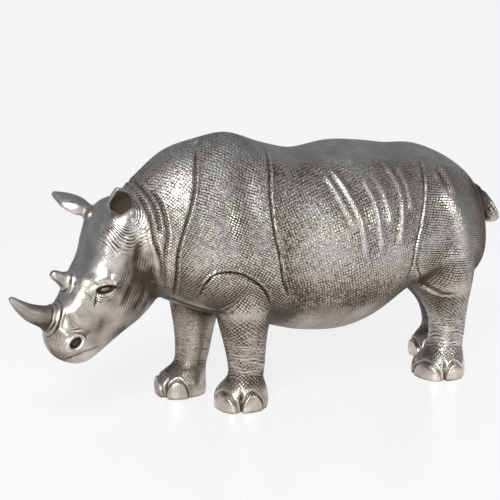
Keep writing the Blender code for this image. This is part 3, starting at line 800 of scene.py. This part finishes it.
# How near each place lies to a seam, with a sign for its side, so that the finish can draw the
# sharp dark line at the bottom of the fold.
seam_side = np.full(len(spots), 9.0)
seam_near = np.full(len(spots), 9.0)
seam_strong = np.zeros(len(spots))
in_head = head_places(spots)
along, brow, left = in_head.T
on_head = 1 - ramp(x - np.interp(z, *jaw_back), -2.5, 0.5)
on_trunk = ramp(x, -104, -98) * ramp(z, 50, 58)
flank = spots[:, [0, 2]]
face = in_head[:, :2]
deepest_fold = 1.8
seams = [(flank, row[5], on_trunk * min(1, row[1] / deepest_fold)) for row in flank_folds]
seams += [
    (flank, left_elbow, (y < 0) * ramp(side, 18, 28)),
    (flank, right_elbow, (y > 0) * ramp(side, 18, 28)),
    (flank, chest_fold, ramp(z, 56, 60) * 0.5),
    (face, mouth, on_head * ramp(np.abs(left), 3, 7) * 0.25),
    (face, tear_line, on_head * ramp(np.abs(left), 5, 9) * 0.55),
]
for points, line, gate in seams:
    distance, sign, fade = line_distance(points, line)
    closer = (distance < seam_near) & (gate * fade > 0.02)
    seam_near = np.where(closer, distance, seam_near)
    seam_side = np.where(closer, distance * sign, seam_side)
    seam_strong = np.where(closer, gate * fade, seam_strong)
paint("seam", np.clip(seam_side, -4, 4))
paint("seam_depth", seam_strong * (1 - ramp(seam_near, 1.2, 2.6)))

# Where the net of lines runs. Its two families of lines follow the hide round the barrel and down
# the legs, each plate with a slant of its own.
middle_height = np.interp(x, [row[0] for row in trunk_stations], [row[2] for row in trunk_stations])
round_barrel = np.arctan2(z - middle_height, np.maximum(side, 0.01)) * 50 + middle_height
run_length = x + ramp(x, 112, 152) * (44 - side)
near_leg = np.zeros(len(spots))
outer_leg = np.zeros(len(spots))
inner_leg = np.zeros(len(spots))
for rows in leg_stations.values():
    rows = np.array(rows)
    middle_x = np.interp(z, rows[:, 0], rows[:, 1])
    middle_y = np.interp(z, rows[:, 0], rows[:, 2])
    out = np.sign(rows[0, 2])
    turn = np.arctan2(x - middle_x, (y - middle_y) * out)
    radius = np.interp(z, rows[:, 0], rows[:, 3])
    on_leg = (np.hypot(x - middle_x, y - middle_y) < radius + 7) & (z < 62) & (y * out > 0)
    run_length = np.where(on_leg, middle_x + turn * 13.5, run_length)
    round_barrel = np.where(on_leg, z, round_barrel)
    near_leg = np.where(on_leg, np.cos(turn / 2) ** 2, near_leg)
    inner_leg = np.where(on_leg, ramp(np.abs(turn), 1.0, 2.2), inner_leg)
    leg_side = (np.hypot(x - middle_x, y - middle_y) < radius + 10) & (z < 84) & (y * out > 0)
    outer_leg = np.where(leg_side, np.cos(turn / 2) ** 2, outer_leg)
# The plates that the net changes at, and each plate's slant, pitch and strength of both families.
collar = np.interp(z, (72, 84, 100, 113, 132, 148, 163), (-80, -82, -82, -78, -70, -65, -58))
plate = np.interp(z, (67, 81, 98, 112, 130, 152, 161), (-14, -21, -24, -26, -25, -19, -15))
thigh = np.interp(z, (67, 77, 92, 109, 127, 142, 156), (60, 64, 66, 72, 80, 86, 90))
first = np.zeros(len(spots))
second = np.zeros(len(spots))
first_strong = np.zeros(len(spots))
second_strong = np.zeros(len(spots))
leg_place = (z < 60) & (near_leg > 0)
hide = (
    ("neck", (x < collar), 128, 1.6, 0.9, 40, 1.8, 0.8),
    ("shoulder", (x >= collar) & (x < plate), 148, 1.55, 1.15, 62, 1.9, 0.85),
    ("ribs", (x >= plate) & (x < thigh), 104, 1.7, 0.55, 16, 1.7, 0.55),
    ("thigh", (x >= thigh), 172, 1.6, 0.9, 66, 2.1, 0.6),
    ("leg", leg_place, 140, 1.8, 0.6, 35, 1.8, 0.6),
)
for _, here, slant, pitch, weight, cross_slant, cross_pitch, cross_weight in hide:
    for target, strength, angle, gap, amount in (
        (first, first_strong, slant, pitch, weight),
        (second, second_strong, cross_slant, cross_pitch, cross_weight),
    ):
        c, s = math.cos(math.radians(angle)), math.sin(math.radians(angle))
        target[here] = ((round_barrel * c - run_length * s) / gap)[here]
        strength[here] = amount
belly_line = np.interp(x, (-30, -14, 24, 60), (72, 62, 60, 60))
shown = (1 - on_head) * (1 - 0.9 * strong)
on_plates = np.maximum(ramp(z, belly_line - 7, belly_line + 7), ramp(outer_leg, 0.5, 0.7))
shown *= np.where(leg_place, ramp(near_leg, 0.25, 0.5) * ramp(z, 12, 17), on_plates)
shown *= 1 - 0.8 * ramp(round_barrel, 142, 156) * ramp(x, -34, -14)
crests = np.zeros(len(spots))
for _, width, line in rib_ridges:
    crests = np.maximum(crests, groove(flank, line, -1, width))
thigh_swell = groove(flank, thigh_muscle, -1, 7)
shown *= 1 - 0.5 * crests
shown *= 1 - 0.75 * outer_leg * np.exp(-(((z - 61) / 3.5) ** 2))
paint("first_line", first)
paint("second_line", second)
paint("first_strong", first_strong * shown)
paint("second_strong", second_strong * shown)
on_feet = ramp(z, 8, 12) * (1 - ramp(z, 17, 30)) * (1 - on_head) * 0.5
on_legs = ramp(z, 18, 30) * (1 - ramp(z, 56, 66)) * (1 - on_head) * 0.4
paint("pebbled", np.maximum(((x >= plate) & (x < thigh)) * shown, np.maximum(on_feet, on_legs)))

# Painted shade and painted highlight in the silver's colour. Painted shade makes it brown towards
# the bottom, under the belly, inside the legs and on the jaw, and a painted dark reflection makes it
# brown behind the thighs. It is brighter on the thigh, where a highlight is painted, on the muzzle
# and on the legs' outsides.
# Painted shade on what faces down and inside the legs, and darker towards the bottom.
under = spread(np.clip(-normals[:, 2:], 0, 1), 6)[:, 0]
painted_shade_and_highlight = (1 - ramp(z, 52, 100)) * (0.5 + 0.5 * ramp(z, 6, 24))
painted_shade_and_highlight += 0.9 * under * ramp(z, 16, 30) + 0.5 * inner_leg * ramp(z, 10, 20)
painted_shade_and_highlight *= 1 - 0.55 * ramp(x, 80, 100) * (1 - ramp(z, 60, 76)) * (y < 0)
# A painted dark reflection along the rump's rear edge, kept off the tail.
painted_shade_and_highlight += 1.8 * ramp(x, 116, 134) * (1 - ramp(z, 122, 138)) * ramp(z, 52, 60)
painted_shade_and_highlight *= 1 - 0.8 * ramp(x, 149.5, 152.5)
# A painted contact shadow along the floor line.
painted_shade_and_highlight += 0.9 * (1 - ramp(z, 0.3, 1.6))
# Painted shade on the cheek and jaw.
painted_shade_and_highlight += 1.0 * on_head * ramp(-brow, 3, 14) * ramp(along, 8, 20) * (1 - ramp(along, 38, 54))
painted_shade_and_highlight += 0.3 * (1 - on_head) * (1 - ramp(x, -84, -66))
painted_shade_and_highlight += 0.7 * (1 - ramp(z, 6, 11))
# A painted highlight on the near thigh, and a little on the rib crests.
painted_shade_and_highlight -= 1.1 * thigh_swell * (y < 0) + 0.1 * crests
painted_shade_and_highlight -= 0.35 * ramp(z, 14, 20) * (1 - ramp(z, 44, 54)) * outer_leg
painted_shade_and_highlight -= 0.35 * on_head * ramp(along, 48, 60)
painted_shade_and_highlight += 0.5 * ramp(z, 112, 128) * (1 - ramp(z, 136, 146)) * ramp(x, 92, 108)
paint("painted_shade_and_highlight", painted_shade_and_highlight)

# The horns and ears are darker than the hide, the near ear more as painted shade, and the eyes,
# nostrils and ear bowls darkest, as painted shade in their pits. The head, the thighs and the nails
# are a little uneven, as the caster's tools left them.
horns = np.zeros(len(spots))
for rows in (front_horn, rear_horn):
    off_axis = np.hypot(along - rows[0][0] - 0.1 * (brow - rows[1][1]), left)
    horns = np.maximum(horns, ramp(brow, rows[2][1] - 1, rows[3][1]) * (1 - ramp(off_axis, 8, 10)))
eye = oval(face, eye_place, eye_slant, eye_half_length, eye_half_height)
nostril = oval(face, nostril_place, nostril_slant, nostril_half_length, nostril_half_width)
# Painted shade in the eye's socket, a little lighter in its middle, and in the nostrils.
eye_shade = (1 - ramp(eye, 1.0, 1.45)) * (0.7 + 0.3 * ramp(eye, 0.3, 0.8))
pit_shade = np.maximum(eye_shade, 1 - ramp(nostril, 0.7, 1.1)) * ramp(np.abs(left), 4, 7)
for name, (root, tip, open_to) in ear_places.items():
    base = np.array(head_point(*root))
    length = np.array(head_point(*tip)) - base
    facing = np.array(forward * open_to[0] + leftward * open_to[1] + up * open_to[2])
    facing = facing - length * (facing @ length) / (length @ length)
    facing /= np.linalg.norm(facing)
    share = (spots - base) @ length / (length @ length)
    off_axis = spots - base - share[:, None] * length
    # Painted shade inside each ear's bowl, deepest towards its root.
    bowl = ramp(normals @ facing, 0.0, 0.5) * ramp(share, 0.02, 0.2) * (1 - ramp(share, 0.85, 1))
    bowl *= (1 - ramp(off_axis @ facing, -0.8, 0.6)) * (1 - ramp(np.linalg.norm(off_axis, axis=1), 7, 9))
    bowl *= 0.2 - 0.2 * ramp(share, 0.1, 0.5)
    pit_shade = np.maximum(pit_shade, bowl)
    on_ear = (1 - ramp(np.linalg.norm(off_axis, axis=1), 9, 11)) * ramp(share, 0.1, 0.3)
    # The near ear is darkened more, as painted shade.
    horns = np.maximum(horns, on_ear * (1.25 if name == "left_ear" else 1.0))
paint("pit_shade", pit_shade * on_head)
paint("horns", horns * on_head)
paint("uneven", on_head * (1 - horns) + thigh_swell * 0.5 + 1.2 * (1 - ramp(z, 9, 15)))


class Socket:
    """A socket of a material. Arithmetic on it adds Math nodes, and node() adds any other."""

    def __init__(self, tree, socket=None):
        self.tree = tree
        self.socket = socket

    def node(self, kind, settings, inputs, output=0):
        made = self.tree.nodes.new(kind)
        for name, value in settings.items():
            setattr(made, name, value)
        for name, value in inputs.items():
            if isinstance(value, Socket):
                self.tree.links.new(value.socket, made.inputs[name])
            else:
                made.inputs[name].default_value = value
        return Socket(self.tree, made.outputs[output])

    def math(self, operation, *values):
        return self.node("ShaderNodeMath", {"operation": operation}, dict(enumerate(values)))

    def __add__(self, other):
        return self.math("ADD", self, other)

    __radd__ = __add__

    def __sub__(self, other):
        return self.math("SUBTRACT", self, other)

    def __rsub__(self, other):
        return self.math("SUBTRACT", other, self)

    def __mul__(self, other):
        return self.math("MULTIPLY", self, other)

    __rmul__ = __mul__

    def fraction(self):
        return self.math("FRACT", self)

    def size(self):
        return self.math("ABSOLUTE", self)

    def larger(self, other):
        return self.math("MAXIMUM", self, other)

    def held(self):
        """Kept between nought and one."""
        return self.node("ShaderNodeClamp", {}, {"Value": self})

    def rise(self, start, end):
        """Nought before the start, one after the end, smooth in between."""
        settings = {"interpolation_type": "SMOOTHSTEP"}
        inputs = {"Value": self, "From Min": start, "From Max": end}
        return self.node("ShaderNodeMapRange", settings, inputs)

    def fall(self, start, end):
        """One before the start, nought after the end, smooth in between."""
        return 1 - self.rise(start, end)


silver = bpy.data.materials.new("antique_silver")
silver.use_nodes = True
tree = silver.node_tree
shader = tree.nodes["Principled BSDF"]
start = Socket(tree)
place = start.node("ShaderNodeTexCoord", {}, {}, "Object")


def painted(name):
    return start.node("ShaderNodeAttribute", {"attribute_name": name}, {}, "Fac")


def noise(scale, detail=3.0, roughness=0.5):
    inputs = {"Vector": place, "Scale": scale, "Detail": detail, "Roughness": roughness}
    return start.node("ShaderNodeTexNoise", {}, inputs)


def mixed(share, a, b):
    return start.node("ShaderNodeMix", {"data_type": "RGBA"}, {"Factor": share, 6: a, 7: b}, 2)


def line(count, wander, half_width):
    """One on the lines where the count passes a whole number, nought between them."""
    return ((count + wander).fraction() - 0.5).size().rise(0.5 - half_width, 0.5)


sway = (noise(55, 2) - 0.5) * 2.2
jitter = (noise(700, 2) - 0.5) * 0.9
broken = noise(330, 2).rise(0.36, 0.56)
patchy = noise(50, 2).rise(0.25, 0.6)
first = line(painted("first_line"), sway + jitter, 0.33) * painted("first_strong")
second = line(painted("second_line"), sway * -0.7 + jitter, 0.3) * painted("second_strong")
net = first.larger(second) * (0.65 + 0.35 * broken) * (0.75 + 0.25 * patchy)

pebble = start.node(
    "ShaderNodeTexVoronoi", {"feature": "DISTANCE_TO_EDGE"},
    {"Vector": place, "Scale": 640.0, "Randomness": 1.0},
)
pebbles = pebble.fall(0.02, 0.22) * painted("pebbled")
strokes = line(painted("wrinkle"), jitter * 0.25 + (noise(140, 1) - 0.5) * 0.3, 0.24)
strokes = strokes * painted("wrinkled") * (0.2 + 0.8 * noise(230, 3).rise(0.4, 0.6))
seam = painted("seam").size().fall(0.05, 0.5) * painted("seam_depth")

hollow = painted("hollow")
raised = painted("raised")
cloudy = noise(16, 4, 0.6)
blotchy = noise(70, 4, 0.65)
speck = noise(1500, 2)
lumps = (noise(75, 2) - 0.5) * painted("uneven")
relief = net * 1.5 + pebbles * 0.58 + strokes * 0.95
hollow = hollow * (1 - painted("seam_depth") * 0.65)
# Brown patina in the folds and lines, with the painted shade and painted highlight of the masks above added
# in.
patina_and_painted_light = hollow * 0.6 + relief + seam * 0.9 + (cloudy - 0.5) * 1.2 + (blotchy - 0.5) * 1.2 - raised * 0.5
patina_and_painted_light = patina_and_painted_light - lumps * 1.2 + painted("painted_shade_and_highlight") * 0.5 + painted("horns") * 0.55
patina_and_painted_light = (patina_and_painted_light + painted("pit_shade") + 0.1).held()
# The silver turns warmer where shade is painted: a shaded copy of it.
cool_silver = ((0.50, 0.48, 0.45, 1), (0.74, 0.715, 0.68, 1))
warm_shaded_silver = ((0.52, 0.475, 0.41, 1), (0.76, 0.70, 0.62, 1))
brown_of_patina_and_shade = (0.062, 0.048, 0.035, 1)
worn = blotchy.rise(0.3, 0.7)
bright = mixed(painted("painted_shade_and_highlight").held(), mixed(worn, *cool_silver), mixed(worn, *warm_shaded_silver))
tone = mixed(patina_and_painted_light, bright, brown_of_patina_and_shade)
tree.links.new(tone.socket, shader.inputs["Base Color"])
tree.links.new((0.24 + patina_and_painted_light * 0.28 + speck * 0.06).socket, shader.inputs["Roughness"])
tree.links.new((1.0 - patina_and_painted_light * 0.25).socket, shader.inputs["Metallic"])
net_depth = 0.00016
pebble_depth = 0.00011
stroke_depth = 0.0004
seam_depth = 0.0006
height = net * -net_depth + pebbles * -pebble_depth + strokes * -stroke_depth + seam * -seam_depth
height = height + speck * 0.00001 + noise(240, 3) * 0.00009 + blotchy * 0.00025 + lumps * 0.0012
bump = start.node("ShaderNodeBump", {}, {"Strength": 1.0, "Distance": 1.0, "Height": height}, "Normal")
tree.links.new(bump.socket, shader.inputs["Normal"])
mesh.materials.clear()
mesh.materials.append(silver)
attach(casting, "root")
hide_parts("rhinoceros")

# The studio. A white table top that sweeps up behind into a white back, and a dim grey room around.
# The white glows a little, so that it shows as bright as a lit sweep.
def white_paint(name, glow):
    made = bpy.data.materials.new(name)
    made.use_nodes = True
    coat = made.node_tree.nodes["Principled BSDF"]
    coat.inputs["Base Color"].default_value = (0.2, 0.197, 0.2, 1)
    coat.inputs["Roughness"].default_value = 0.3
    coat.inputs["Emission Color"].default_value = (1, 0.985, 1, 1)
    coat.inputs["Emission Strength"].default_value = glow
    return made


sweep_turn = -0.454
sweep_half_width = 3
table_end = 0.2
sweep_start = 0.4
sweep_radius = 0.7
sweep_height = 3
white_glow = 0.74
white = white_paint("studio_white", white_glow)


def sweep(name, profile):
    """A sheet of the studio, from a line of (how far behind the animal, how high) places."""
    bm = bmesh.new()
    bmesh.ops.create_grid(bm, x_segments=1, y_segments=len(profile) - 1, size=1)
    rows = sorted({round(v.co.y, 6) for v in bm.verts})
    for v in bm.verts:
        behind, rise = profile[rows.index(round(v.co.y, 6))]
        v.co = (v.co.x * sweep_half_width, behind, rise)
    made = bpy.data.meshes.new(name)
    bm.to_mesh(made)
    bm.free()
    made.materials.append(white)
    made.shade_smooth()
    holder = bpy.data.objects.new(name, made)
    holder.rotation_euler = (0, 0, sweep_turn)
    bpy.context.scene.collection.objects.link(holder)
    return holder


sweep("table_top", ((-3, 0), (table_end, 0)))
bend = [math.pi / 2 * k / 16 for k in range(17)]
curve = [(sweep_start + sweep_radius * math.sin(a), sweep_radius * (1 - math.cos(a))) for a in bend]
back = sweep("white_back", [(table_end, 0), *curve, (sweep_start + sweep_radius, sweep_height)])
back.visible_glossy = False

room = bpy.data.worlds.new("grey_room")
room.use_nodes = True
room.node_tree.nodes["Background"].inputs["Color"].default_value = (0.87, 0.9, 0.98, 1)
room.node_tree.nodes["Background"].inputs["Strength"].default_value = 0.28
bpy.context.scene.world = room
bpy.context.scene.view_settings.view_transform = "Standard"


def lamp(name, place, aim, size, watts, tint=(1, 1, 1)):
    light = bpy.data.lights.new(name, "AREA")
    light.size = size
    light.energy = watts
    light.color = tint
    holder = bpy.data.objects.new(name, light)
    holder.location = place
    holder.rotation_euler = (Vector(aim) - Vector(place)).to_track_quat("-Z", "Y").to_euler()
    bpy.context.scene.collection.objects.link(holder)


lamp("key_lamp", (-0.9, -1.1, 0.8), (0, 0, 0.08), 0.75, 19, (1.0, 0.95, 0.89))
lamp("sky_lamp", (-0.35, -0.75, 1.1), (0, 0, 0.08), 0.4, 5, (0.86, 0.92, 1.0))
lamp("side_lamp", (0.62, -1.1, 0.5), (0.1, 0, 0.1), 0.22, 3, (1.0, 0.95, 0.88))

# The camera, where the photograph was taken from: a little above the animal, ahead and to its left.
camera_turn = math.radians(26)
camera_dip = math.radians(10.85)
camera_distance = 0.574
camera_height = 0.2004
camera_aim = Vector((-0.0118, 0.006, 0))
view_way = Vector((math.sin(camera_turn), math.cos(camera_turn), 0))
camera_data = bpy.data.cameras.new("camera")
camera_data.sensor_width = 36
camera_data.lens = 67.4
camera = bpy.data.objects.new("camera", camera_data)
camera.location = camera_aim - view_way * camera_distance + up * camera_height
camera.rotation_euler = (math.pi / 2 - camera_dip, 0, -camera_turn)
bpy.context.scene.collection.objects.link(camera)
bpy.context.scene.camera = camera
